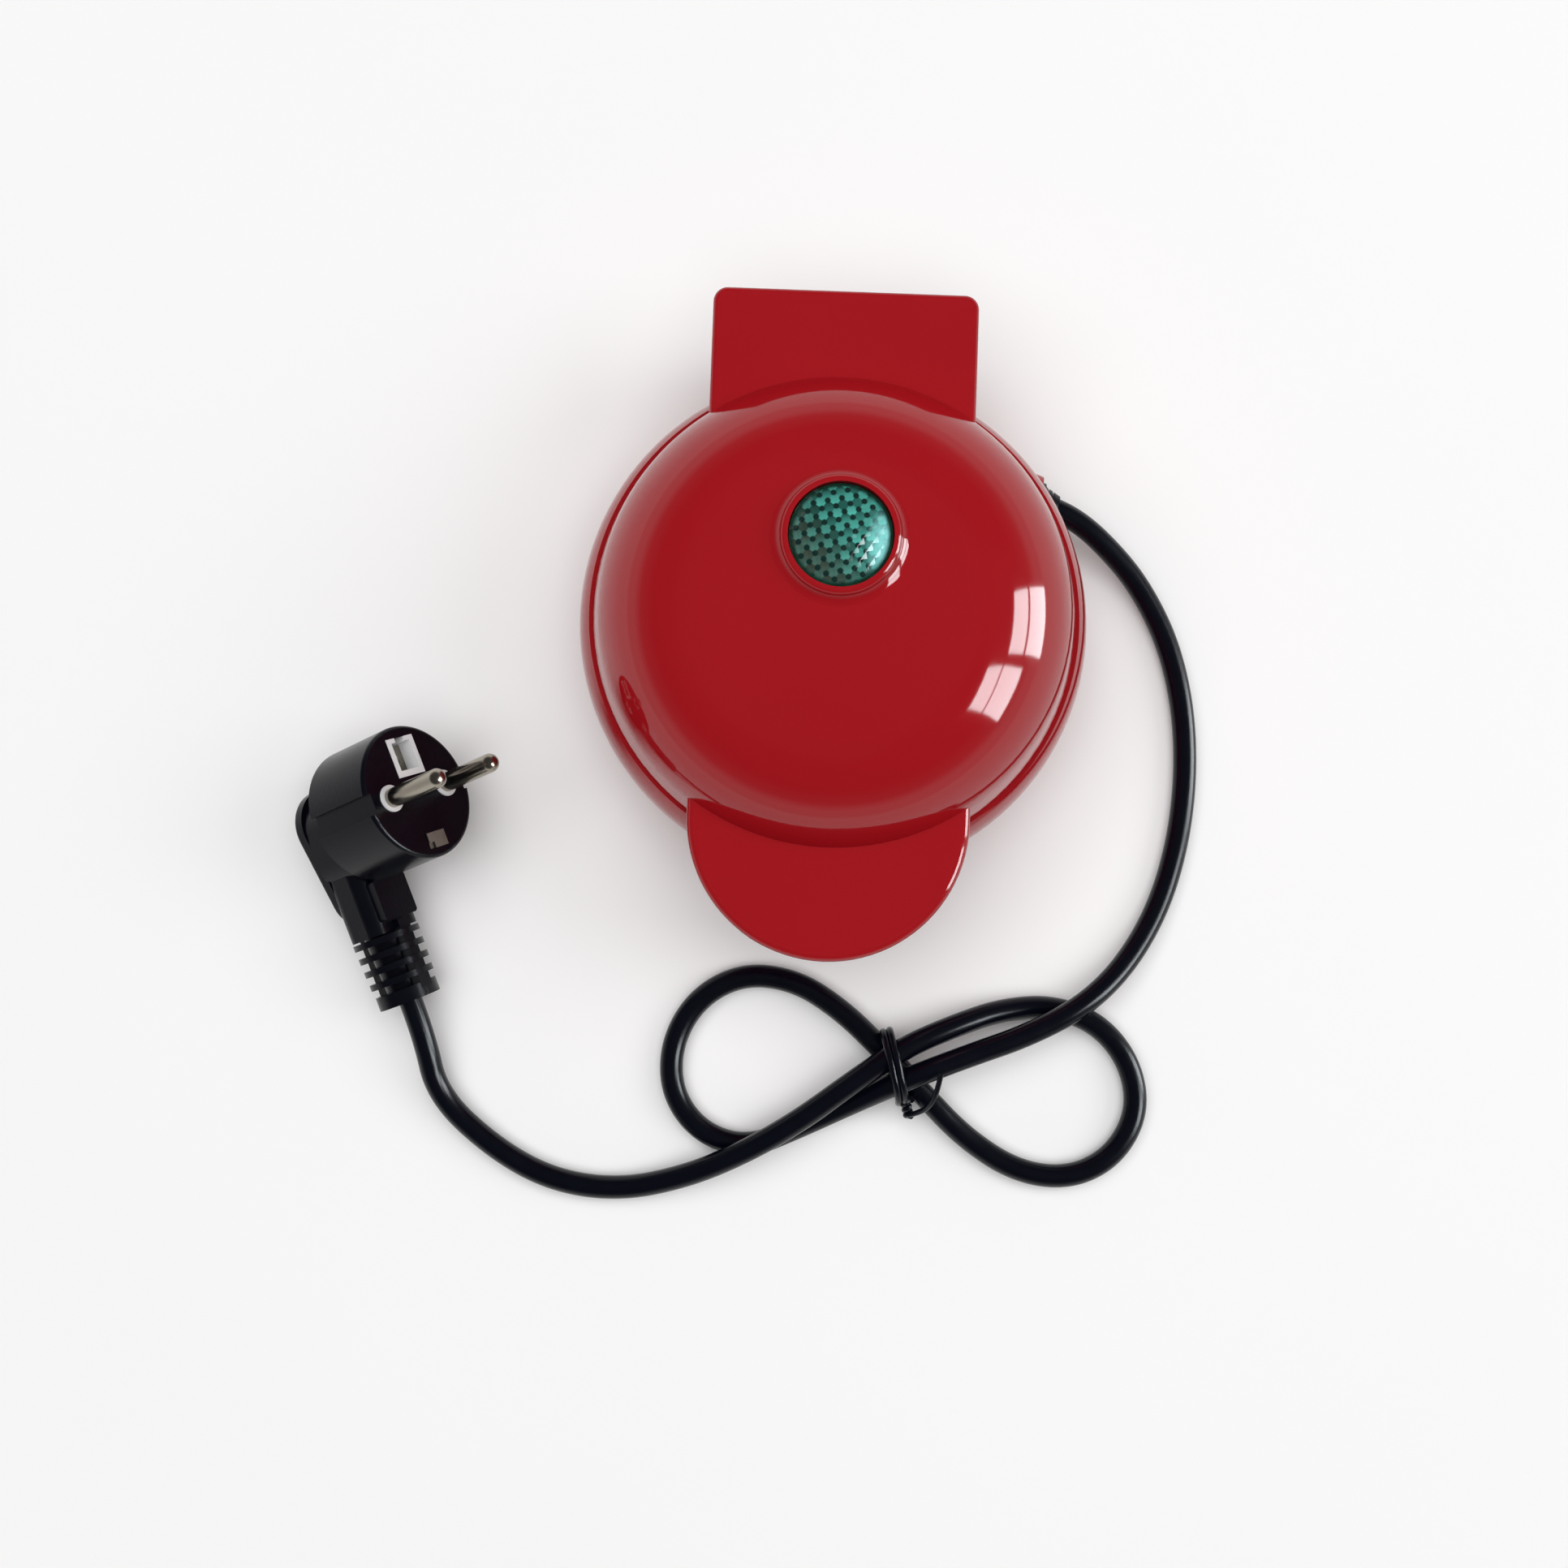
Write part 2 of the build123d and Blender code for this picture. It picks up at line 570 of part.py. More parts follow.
def bend_radii(route):
    """The largest arc that each corner's two runs allow."""
    radii = []
    for before, corner, after in zip(route, route[1:], route[2:]):
        into = corner - before
        out = after - corner
        turn = math.radians(into.get_angle(out))
        radii.append(0.45 * min(into.length, out.length) / math.tan(turn / 2))
    return radii


def least_gap(path, count=1400):
    """The least gap between the lead's skin and itself, away from neighbouring points."""
    step = path.length / count
    skip = int(4 * CORD_DIAMETER / step)
    points = [path @ (index / count) for index in range(count + 1)]
    least = min(
        (points[i] - points[j]).length
        for i in range(0, count + 1, 2)
        for j in range(i + skip, count + 1, 2)
    )
    return least - CORD_DIAMETER


def power_cord():
    route = cord_route()
    radii = bend_radii(route)
    path = FilletPolyline(*route, radius=radii)
    section = Plane(origin=path @ 0, z_dir=path % 0) * Circle(CORD_DIAMETER / 2)
    tube = sweep(section, path=path)
    expected = math.pi * CORD_DIAMETER ** 2 / 4 * path.length
    print(f"lead {path.length:.1f} mm, tube volume over section times length "
          f"{tube.volume / expected:.4f}, least gap to itself {least_gap(path):.2f} mm")
    print("radii", " ".join(f"{radius:.0f}" for radius in radii))
    return tube


# Wire tie round the crossing

def twist_tie():
    """A plastic-covered wire round the crossing strands, its twisted knot and its loose end."""
    wire = 0.65
    across = Vector(0.29, -0.957, 0)
    middle = Vector(20.6, -111.0, 0)
    outline = [
        (-9.4, 7.0), (-7.0, 0.75), (7.2, 0.75), (9.2, 7.0), (8.2, 14.0), (3.6, 16.4), (-3.6, 16.4),
        (-8.6, 13.6),
    ]
    points = [middle + across * g + Vector(0, 0, z) for g, z in outline]
    ring = FilletPolyline(*points, close=True, radius=1.6)
    band = sweep(Plane(origin=ring @ 0, z_dir=ring % 0) * Circle(wire), path=ring)
    knot_top = middle + across * 9.6 + Vector(0, 0, 8.0)
    knot_end = middle + across * 13.2 + Vector(-0.8, 0, 5.0)
    axis = knot_end - knot_top
    knot = Plane(origin=knot_top, z_dir=axis) * Cylinder(1.25, axis.length, align=CENTRE_MIN)
    tail = FilletPolyline(
        knot_end, knot_end + Vector(3.4, 1.0, 2.0), knot_end + Vector(6.2, 5.0, 9.0),
        knot_end + Vector(6.8, 12.0, 12.6), radius=[2.0, 2.6])
    loose = sweep(Plane(origin=tail @ 0, z_dir=tail % 0) * Circle(wire), path=tail)
    return band + knot + loose


# Plug, drawn in its own frame: pins along +Z, spaced along X, cable along -Y

def plug_body():
    """The angled plug: a round head with guide grooves, a flat back, a neck and a ribbed relief."""
    cable = -PLUG_CABLE_DEPTH
    head = Pos(0, 0, -21) * Cylinder(17.2, 21, align=CENTRE_MIN)
    head = fillet(head.edges().group_by(Axis.Z)[-1], 1.0)
    for side in (-1, 1):
        head -= Pos(side * 17.6, 0, -13) * Box(4.4, 5.4, 30)
    waist = Pos(0, -4, -26.5) * Box(19.6, 24.0, 14.0)
    waist = fillet(waist.edges().filter_by(Axis.Z), 8.0)
    neck = Pos(0, -18, cable) * Box(16.0, 24, 12.0)
    neck = fillet(neck.edges().filter_by(Axis.Y), 3.5)
    block = Pos(0, -22, cable + 6.5) * Box(11.0, 11.0, 4.0)
    block = fillet(block.edges().filter_by(Axis.Z), 1.0)
    back_ends = (Pos(0, 0.5) * Circle(10.2)).edges() + (Pos(0, -18.5) * Circle(7.4)).edges()
    back = Pos(0, 0, cable - 6.8) * extrude(make_hull(back_ends), amount=3.2)
    back = fillet(back.edges().group_by(Axis.Z)[0], 1.0)
    shape = head + waist + neck + block + back
    start = -28.0
    core = Pos(0, start, cable) * Rot(90, 0, 0) * Cone(
        5.6, 4.7, PLUG_LENGTH + start, align=CENTRE_MIN)
    shape += core
    for index in range(4):
        rib = Pos(0, start - 3.3 - 3.6 * index, cable) * Rot(90, 0, 0)
        shape += rib * Cylinder(8.7 - 0.12 * index, 1.6)
    shape += Pos(0, 1.8 - PLUG_LENGTH, cable) * Rot(90, 0, 0) * Cylinder(8.0, 3.6)
    shape += Pos(0, start - 9.0, cable) * Box(3.6, 18.5, 16.0)
    shape -= Pos(0, EARTH_Y, -6) * Box(9.0, 10.0, 14)
    shape -= Pos(0, CONTACT_Y, -1.5) * Box(6.0, 4.0, 4.2)
    for side in (-1, 1):
        shape -= Pos(side * PIN_X, 0, -8) * Cylinder(3.4, 9, align=CENTRE_MIN)
    return plug_plane() * shape


def plug_insert():
    """The white carrier of the pins and of the earth contact, seen as rings and a frame."""
    shape = Pos(0, EARTH_Y, -6.4) * Box(9.0, 10.0, 13.2)
    shape -= Pos(0, EARTH_Y + 0.8, -2.0) * Box(6.2, 8.4, 6.0)
    for side in (-1, 1):
        shape += Pos(side * 2.4, EARTH_Y + 4.4, -2.4) * Box(1.6, 1.2, 5.2)
    for side in (-1, 1):
        ring = Pos(side * PIN_X, 0, -8) * Cylinder(3.4, 8 + RING_PROUD, align=CENTRE_MIN)
        ring -= Pos(side * PIN_X, 0, -8) * Cylinder(PIN_ROOT, 9, align=CENTRE_MIN)
        shape += ring
    return plug_plane() * shape


def plug_pins():
    """The round pins, each with a thinner root in its white ring and a rounded tip."""
    pins = []
    for side in (-1, 1):
        root = Pos(side * PIN_X, 0, -8) * Cylinder(PIN_ROOT, 8 + SHANK_START, align=CENTRE_MIN)
        shank = Pos(side * PIN_X, 0, SHANK_START) * Cylinder(2.4, 19 - SHANK_START, align=CENTRE_MIN)
        shank = fillet(shank.edges().group_by(Axis.Z)[-1], 2.2)
        pins.append(plug_plane() * (root + shank))
    return Compound(children=pins)


def plug_earth_contacts():
    """The drilled earth plate in the face's window and the small contact near the cable."""
    plate = Pos(0, EARTH_Y + 0.1, -4.5) * Box(6.2, 7.0, 1.0) - Pos(0, EARTH_Y, -2.4) * Sphere(2.3)
    contact = Pos(0, CONTACT_Y, -1.6) * Box(6.0, 4.0, 4.0)
    contact -= Pos(-2.2, CONTACT_Y - 1.2, 0.4) * Box(1.6, 1.6, 1.6)
    return Compound(children=[plug_plane() * plate, plug_plane() * contact])


# Lid

LINER_SCREWS = ((-14.0, -64.0), (14.0, -64.0), (-13.0, 60.0), (13.0, 60.0))


def lens_collar():
    """The raised ring round the lens: a rounded lip, and a hollow flare square to the dome there."""
    lip = COLLAR_TOP_Z - 1.6
    face = make_face([
        Line((0, 66.0), (COLLAR_RADIUS, 66.0)),
        Line((COLLAR_RADIUS, 66.0), (COLLAR_RADIUS, lip)),
        ThreePointArc((COLLAR_RADIUS, lip), (13.45, COLLAR_TOP_Z - 0.45), (12.4, COLLAR_TOP_Z)),
        Line((12.4, COLLAR_TOP_Z), (0, COLLAR_TOP_Z)),
        Line((0, COLLAR_TOP_Z), (0, 66.0)),
    ])
    ring = Pos(0, LENS_Y, 0) * revolve(Plane.XZ * face, axis=Axis.Z)
    return ring + lens_flare()


def lens_flare():
    """The hollow flare, drawn about the dome's normal, from the collar's side out to the dome."""
    rise = CROWN_Z - SHOULDER_Z
    crown_radius = (SHOULDER_CORNER ** 2 + rise ** 2) / (2 * rise)
    tilt = math.asin(LENS_Y / crown_radius)
    foot = COLLAR_RADIUS + FLARE_WIDTH
    foot_z = math.sqrt(crown_radius ** 2 - foot ** 2) - 0.15
    neck = COLLAR_RADIUS - FLARE_LAP
    turn = math.asin((foot - neck) / FLARE_ROUND)
    neck_z = foot_z + FLARE_ROUND * (1 - math.cos(turn))
    middle = (foot - FLARE_ROUND * math.sin(turn / 2), foot_z + FLARE_ROUND * (1 - math.cos(turn / 2)))
    face = make_face([
        Line((0, foot_z - 4), (foot, foot_z - 4)),
        Line((foot, foot_z - 4), (foot, foot_z)),
        ThreePointArc((foot, foot_z), middle, (neck, neck_z)),
        Line((neck, neck_z), (0, neck_z)),
        Line((0, neck_z), (0, foot_z - 4)),
    ])
    flare = revolve(Plane.XZ * face, axis=Axis.Z)
    return Pos(0, 0, CROWN_Z - crown_radius) * Rot(-math.degrees(tilt), 0, 0) * flare


def lid_shell():
    outside = lid_form(0)
    collar = lens_collar()
    inside = lid_form(WALL)
    shell = outside + collar - inside
    shell += post(0, LENS_Y, 63.5, 70.5, 15.2) & outside
    for x, y in LINER_SCREWS:
        shell += post(x, y, LID_Z + 0.2 + WALL, TAB_Z - 1, 3.2)
    for side in (-1, 1):
        cheek = Pos(side * 27.3, HINGE_Y, HINGE_Z) * Rot(0, side * 90, 0)
        cheek = cheek * Cylinder(4.0, 3.4, align=CENTRE_MIN)
        x0, x1 = sorted((side * 27.3, side * 30.7))
        shell += cheek + slab(x0, x1, HINGE_Y - 4.0, TAB_END - 1, HINGE_Z, TAB_Z - 1)
    shell -= post(0, LENS_Y, 60, 80, LENS_RADIUS + 0.2)
    shell -= post(0, LENS_Y, 60, 67.5, LENS_RADIUS + 1.4)
    for x, y in LINER_SCREWS:
        shell -= post(x, y, LID_Z, TAB_Z - 2, 1.1)
    for bore in pin_bores(PIN_RADIUS + 0.05):
        shell -= bore
    corner = slab(-40, 40, HINGE_Y, 95, 30, HINGE_Z)
    sweep_room = Pos(-40, HINGE_Y, HINGE_Z) * Rot(0, 90, 0) * Cylinder(LID_SWEEP, 80, align=CENTRE_MIN)
    shell -= corner - sweep_room
    rear_slot = slab(-27.2, 27.2, HINGE_Y, 95, 30, HINGE_Z + 2.7)
    return shell - rear_slot


def lens():
    """The indicator's lens: a domed cap over a drum, with a flange that seats under the collar."""
    cap = turned(
        Line((0, 68.6), (LENS_RADIUS - 1.4, 68.6)),
        Line((LENS_RADIUS - 1.4, 68.6), (LENS_RADIUS - 1.4, 66.2)),
        Line((LENS_RADIUS - 1.4, 66.2), (LENS_RADIUS + 1.2, 66.2)),
        Line((LENS_RADIUS + 1.2, 66.2), (LENS_RADIUS + 1.2, 67.4)),
        Line((LENS_RADIUS + 1.2, 67.4), (LENS_RADIUS, 67.4)),
        Line((LENS_RADIUS, 67.4), (LENS_RADIUS, 73.4)),
        crown_arc((LENS_RADIUS, 73.4), (0, 75.0)),
        Line((0, 75.0), (0, 68.6)),
    )
    return Pos(0, LENS_Y, 0) * cap


def lens_retainer():
    ring = post(0, LENS_Y, 64.0, 66.2, LENS_RADIUS + 1.35) - post(0, LENS_Y, 63, 67, 10.2)
    return ring


def lamp_holder():
    """A clip that carries the lamp under the lens, on the lens retainer."""
    cup = post(0, LENS_Y, 60.0, 64.0, 11.6) - post(0, LENS_Y, 61.5, 65.0, 10.0)
    stem = post(0, LENS_Y, 61.5, 63.0, 3.4)
    return cup + stem - post(0, LENS_Y, 62.0, 64.0, 2.2)


def neon_lamp():
    bulb = post(0, LENS_Y, 62.0, 66.4, 2.0)
    tip = Pos(0, LENS_Y, 66.4) * Sphere(2.0)
    return bulb + tip


def lid_liner():
    """The flat frame that closes the lid round its plate and under the tongue."""
    z0 = LID_Z + 0.2
    gap = WALL + 0.15
    plan = Circle(56.2) + tongue_plan(gap)
    plan += Pos(0, 32) * Rectangle(2 * (TAB_HALF_WIDTH - gap), 64)
    liner = Pos(0, 0, z0) * extrude(plan, amount=WALL)
    lip = Pos(0, 0, z0) * extrude(tongue_plan(gap + 6) - Circle(60), amount=WALL + 2.5)
    liner += lip - Pos(0, 0, z0) * extrude(tongue_plan(gap + 7.4), amount=10)
    for angle in PLATE_SCREW_ANGLES:
        x, y = polar(angle, PLATE_SCREW_CIRCLE)
        liner += post(x, y, z0 + 1, z0 + WALL + 1.5, 1.9)
        liner -= post(x, y, z0 + 0.8, z0 + 6, 1.1)
    liner -= post(0, 0, z0 - 1, z0 + 10, PLATE_OPENING)
    for x, y in LINER_SCREWS:
        liner -= post(x, y, z0 - 1, z0 + 4, 1.3)
        liner -= post(x, y, z0 - 1, z0 + 1.2, 3.0)
    return liner


def liner_screws():
    seat = LID_Z + 0.2 + 1.2
    return Compound(children=[pan_screw(x, y, seat, 6.0) for x, y in LINER_SCREWS])


def hinge_pins():
    pins = []
    for side in (-1, 1):
        pin = Pos(side * 18.0, HINGE_Y, HINGE_Z) * Rot(0, side * 90, 0)
        pins.append(pin * Cylinder(PIN_RADIUS, 12.4, align=CENTRE_MIN))
    return Compound(children=pins)


NODES = {
    "base_shell": base_shell,
    "bottom_cover": bottom_cover,
    "feet": feet,
    "bottom_cover_screws": bottom_cover_screws,
    "lower_plate": grill_plate,
    "lower_plate_screws": plate_screws,
    "lower_heater": heater,
    "lower_heater_clamp": heater_clamp,
    "lower_clamp_screws": clamp_screws,
    "thermostat": thermostat,
    "thermal_fuse": thermal_fuse,
    "terminal_block": terminal_block,
    "base_wiring": base_wiring,
    "hinge_pins": hinge_pins,
    "cord_bushing": cord_bushing,
    "cord_clamp": cord_clamp,
    "cord_clamp_screw": cord_clamp_screw,
    "cord_tail": cord_tail,
    "power_cord": power_cord,
    "twist_tie": twist_tie,
    "plug_body": plug_body,
    "plug_insert": plug_insert,
    "plug_pins": plug_pins,
    "plug_earth_contacts": plug_earth_contacts,
    "lid_shell": lid_shell,
    "lid_liner": lid_liner,
    "liner_screws": liner_screws,
    "lens": lens,
    "lens_retainer": lens_retainer,
    "lamp_holder": lamp_holder,
    "neon_lamp": neon_lamp,
    "lid_wiring": lid_wiring,
    "upper_plate": lambda: mirrored(grill_plate()),
    "upper_plate_screws": lambda: mirrored(plate_screws()),
    "upper_heater": lambda: mirrored(heater()),
    "upper_heater_clamp": lambda: mirrored(heater_clamp()),
    "upper_clamp_screws": lambda: mirrored(clamp_screws()),
}

for node, make in NODES.items():
    save(node, make())
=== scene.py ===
import bpy
import math
from mathutils import Matrix, Vector


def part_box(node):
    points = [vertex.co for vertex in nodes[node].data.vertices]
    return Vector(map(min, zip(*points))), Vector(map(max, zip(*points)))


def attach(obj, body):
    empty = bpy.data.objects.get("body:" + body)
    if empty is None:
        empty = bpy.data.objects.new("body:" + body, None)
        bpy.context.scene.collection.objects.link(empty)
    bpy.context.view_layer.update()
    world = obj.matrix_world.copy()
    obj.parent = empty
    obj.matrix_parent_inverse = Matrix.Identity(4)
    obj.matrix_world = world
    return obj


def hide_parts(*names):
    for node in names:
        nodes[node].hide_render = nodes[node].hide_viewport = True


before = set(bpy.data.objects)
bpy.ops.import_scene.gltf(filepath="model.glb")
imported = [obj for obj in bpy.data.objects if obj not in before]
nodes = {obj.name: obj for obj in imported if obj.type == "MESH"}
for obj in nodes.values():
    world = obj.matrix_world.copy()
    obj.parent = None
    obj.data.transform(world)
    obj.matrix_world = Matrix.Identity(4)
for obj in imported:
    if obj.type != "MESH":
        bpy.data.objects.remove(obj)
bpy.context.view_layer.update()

# Lengths are in metres in the part's frame. The plates' axis stands at y = AXIS_Y.
plate_low, plate_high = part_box("lower_plate")
AXIS_Y = (plate_low[1] + plate_high[1]) / 2
MM = 0.001


def place(x, y, z):
    """A point given in millimetres about the plates' axis."""
    return Vector((x * MM, y * MM + AXIS_Y, z * MM))


# Camera, fitted to the photograph: almost straight above, a little in front and to the left

CAMERA_PLACE = place(-10.8, -66.9, 480.0)
CAMERA_TILT = math.radians(3.34)    # it looks this much to the back of straight down
CAMERA_ROLL = math.radians(2.10)
CAMERA_LENS = 41.74
CAMERA_SENSOR = 36.0


def camera_turn():
    forward = Vector((0, math.sin(CAMERA_TILT), -math.cos(CAMERA_TILT)))
    level = Vector((1, 0, 0))
    upright = level.cross(forward)
    painted_right = level * math.cos(CAMERA_ROLL) + upright * math.sin(CAMERA_ROLL)
    up = upright * math.cos(CAMERA_ROLL) - level * math.sin(CAMERA_ROLL)
    return Matrix((painted_right, up, -forward)).transposed()


def make_camera():
    data = bpy.data.cameras.new("camera")
    data.sensor_width = CAMERA_SENSOR
    data.lens = CAMERA_LENS
    data.clip_start = 0.01
    data.clip_end = 20.0
    camera = bpy.data.objects.new("camera", data)
    bpy.context.scene.collection.objects.link(camera)
    camera.matrix_world = Matrix.Translation(CAMERA_PLACE) @ camera_turn().to_4x4()
    bpy.context.scene.camera = camera


make_camera()


# Shader nodes

def new_material(name):
    material = bpy.data.materials.new(name)
    material.use_nodes = True
    tree = material.node_tree
    shader = tree.nodes["Principled BSDF"]
    return material, tree, shader


def feed(tree, socket, value):
    """Give an input another node's output, a colour, a vector or a number."""
    if isinstance(value, bpy.types.NodeSocket):
        tree.links.new(value, socket)
    elif socket.type == "RGBA":
        socket.default_value = (*value, 1)
    else:
        socket.default_value = value


def object_coords(tree):
    return tree.nodes.new("ShaderNodeTexCoord").outputs["Object"]


def noise(tree, scale, detail=3.0):
    node = tree.nodes.new("ShaderNodeTexNoise")
    node.inputs["Scale"].default_value = scale
    node.inputs["Detail"].default_value = detail
    node.inputs["Roughness"].default_value = 0.55
    tree.links.new(object_coords(tree), node.inputs["Vector"])
    return node.outputs["Fac"]


def mix(tree, kind, factor, low, high):
    """A mix of two values, of the kind FLOAT or RGBA, where each may be another node's output."""
    ending = "Color" if kind == "RGBA" else "Float"
    node = tree.nodes.new("ShaderNodeMix")
    node.data_type = kind
    tree.links.new(factor, node.inputs["Factor"])
    for letter, value in (("A", low), ("B", high)):
        socket = next(i for i in node.inputs if i.identifier == f"{letter}_{ending}")
        feed(tree, socket, value)
    return next(o for o in node.outputs if o.identifier == f"Result_{ending}")


def blend(tree, factor, low, high):
    return mix(tree, "RGBA", factor, low, high)


def calculate(tree, operation, first, second):
    node = tree.nodes.new("ShaderNodeMath")
    node.operation = operation
    feed(tree, node.inputs[0], first)
    feed(tree, node.inputs[1], second)
    return node.outputs["Value"]


def vector_node(tree, operation, first, second=None):
    node = tree.nodes.new("ShaderNodeVectorMath")
    node.operation = operation
    feed(tree, node.inputs[0], first)
    if second is not None:
        feed(tree, node.inputs[1], second)
    return node.outputs["Vector"]


def length_of(tree, vector):
    node = tree.nodes.new("ShaderNodeVectorMath")
    node.operation = "LENGTH"
    tree.links.new(vector, node.inputs[0])
    return node.outputs["Value"]


def axes_of(tree, vector):
    node = tree.nodes.new("ShaderNodeSeparateXYZ")
    tree.links.new(vector, node.inputs["Vector"])
    return node.outputs["X"], node.outputs["Y"], node.outputs["Z"]


def rising(tree, value, start, end):
    """0 where the value is at start and 1 where it is at end, and level beyond them."""
    node = tree.nodes.new("ShaderNodeMapRange")
    tree.links.new(value, node.inputs["Value"])
    node.inputs["From Min"].default_value = start
    node.inputs["From Max"].default_value = end
    return node.outputs["Result"]


def bump(tree, shader, height, distance, strength=1.0):
    node = tree.nodes.new("ShaderNodeBump")
    node.inputs["Distance"].default_value = distance
    node.inputs["Strength"].default_value = strength
    tree.links.new(height, node.inputs["Height"])
    tree.links.new(node.outputs["Normal"], shader.inputs["Normal"])


# Materials

GRAIN_SCALE = 18        # the grain is this much finer than the drift of the colour


def surface(name, dark, light, rough, scale, metal=0.0, grain=0.0, specular=0.5):
    """A procedural material: its colour and roughness drift with noise, and grain is in metres."""
    material, tree, shader = new_material(name)
    drift = noise(tree, scale)
    tree.links.new(blend(tree, drift, dark, light), shader.inputs["Base Color"])
    tree.links.new(mix(tree, "FLOAT", drift, *rough), shader.inputs["Roughness"])
    shader.inputs["Metallic"].default_value = metal
    shader.inputs["Specular IOR Level"].default_value = specular
    if grain:
        bump(tree, shader, noise(tree, scale * GRAIN_SCALE, detail=2.0), grain)
    return material


RED = surface(
    "red_gloss", (0.325, 0.0052, 0.0092), (0.355, 0.0070, 0.0115), (0.05, 0.09), 14.0, specular=0.42)
BLACK_SATIN = surface(
    "black_satin", (0.010, 0.010, 0.011), (0.017, 0.017, 0.018), (0.35, 0.5), 80.0, grain=0.00004)
CAST = surface(
    "cast_coating", (0.020, 0.020, 0.021), (0.034, 0.034, 0.036), (0.28, 0.45), 120.0, grain=0.00006)
STEEL = surface(
    "bright_steel", (0.50, 0.50, 0.50), (0.62, 0.62, 0.61), (0.22, 0.4), 90.0, metal=1.0)
SHEATH = surface(
    "heater_sheath", (0.19, 0.17, 0.15), (0.30, 0.27, 0.24), (0.35, 0.55), 150.0, metal=1.0)
NICKEL = surface(
    "nickel", (0.30, 0.27, 0.22), (0.42, 0.38, 0.32), (0.16, 0.28), 200.0, metal=1.0)
DULL = surface(
    "dull_contact", (0.16, 0.15, 0.125), (0.24, 0.22, 0.185), (0.42, 0.55), 300.0, metal=1.0)
BRASS = surface(
    "brass", (0.55, 0.40, 0.18), (0.70, 0.54, 0.26), (0.2, 0.4), 100.0, metal=1.0)
RUBBER = surface(
    "foot_rubber", (0.012, 0.012, 0.012), (0.022, 0.022, 0.022), (0.6, 0.8), 120.0, grain=0.00005)
CORD = surface(
    "cord_jacket", (0.0012, 0.0018, 0.0046), (0.0024, 0.0031, 0.0070), (0.18, 0.26), 160.0,
    grain=0.00002, specular=0.24)
PLUG = surface(
    "plug_moulding", (0.0016, 0.0019, 0.0042), (0.0028, 0.0033, 0.0064), (0.20, 0.30), 120.0,
    grain=0.00003, specular=0.20)
WHITE = surface(
    "white_plastic", (0.66, 0.67, 0.68), (0.78, 0.78, 0.78), (0.3, 0.45), 90.0)
SLEEVE = surface(
    "glass_sleeve", (0.62, 0.60, 0.54), (0.74, 0.72, 0.66), (0.6, 0.8), 300.0, grain=0.00005)
LAMP = surface(
    "lamp_glass", (0.70, 0.42, 0.30), (0.80, 0.52, 0.38), (0.05, 0.1), 60.0)

# Lens: green plastic over a grid of small square prisms, turned on the lens, under a smooth skin, with
# painted light on it: lit and shaded prisms, brighter to the right, and a painted highlight at the right
# edge

PRISM_PITCH = 0.0023
PRISM_TURN = math.radians(33)
PRISM_DEPTH = 0.0009
# Lit and shaded copies of the lens's green: painted light and a checker pattern mix them
LENS_SHADED = (0.002, 0.045, 0.034)
LENS_LIT = (0.10, 0.58, 0.48)
LENS_BROWN = (0.055, 0.062, 0.045)      # the tint of the lower left
LENS_SPOT = (0.002, 0.022, 0.018)       # the dark spots at the prisms' corners
LENS_PAINTED_HIGHLIGHT = (0.30, 0.86, 0.84)         # a painted highlight: the bright patch at the right edge
LENS_RIM = (0.001, 0.035, 0.022)
SPOT_EDGE = (0.24, 0.36)                # in pitches from a prism's corner
RIM_EDGE = (0.0104, 0.0113)
PAINTED_LIGHT_RIGHT = (-0.006, 0.0125)           # in x, where painted light makes the prisms grow brighter
LOWER_LEFT = (0.001, -0.011)            # in x + y, where they turn brown
HIGHLIGHT_PLACE = (0.0105, -0.0012, 0)
HIGHLIGHT_EDGE = (0.0052, 0.0018)
HIGHLIGHT_SQUASH = (1, 0.55, 0)             # the painted highlight is longer in y than in x
# Shares of the painted light at the right, the painted glints and facet shade, the checker pattern, the
# brown tint and the painted highlight
SHARE_PAINTED_RIGHT = 0.25
SHARE_PAINTED_GLINT = 0.45
SHARE_CHECK = 0.35
SHARE_BROWN = 0.7
SHARE_HIGHLIGHT = 0.85


def lens_coords(tree):
    """Coordinates about the middle of the lens."""
    lens_low, lens_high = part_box("lens")
    middle = (Vector(lens_low) + Vector(lens_high)) / 2
    centre = nodes["lens"].matrix_world.inverted() @ middle
    return vector_node(tree, "SUBTRACT", object_coords(tree), tuple(centre))


def prism_grid(tree, local):
    """Coordinates that count the prisms along the turned grid."""
    mapping = tree.nodes.new("ShaderNodeMapping")
    mapping.inputs["Rotation"].default_value = (0, 0, PRISM_TURN)
    mapping.inputs["Scale"].default_value = (1 / PRISM_PITCH, 1 / PRISM_PITCH, 0)
    tree.links.new(local, mapping.inputs["Vector"])
    return mapping.outputs["Vector"]


def prism_painted_glint(tree, grid, cell):
    """Painted glints and facet shade: each prism has its own random brightness, and falls off across its
    facets.
    """
    chance = tree.nodes.new("ShaderNodeTexWhiteNoise")
    tree.links.new(vector_node(tree, "FLOOR", grid), chance.inputs["Vector"])
    x, y, _ = axes_of(tree, cell)
    # Painted facet shade: the brightness falls off from one side of each prism to the other
    painted_facing = rising(tree, calculate(tree, "SUBTRACT", x, y), -0.5, 0.5)
    return calculate(tree, "MULTIPLY", chance.outputs["Value"], painted_facing)


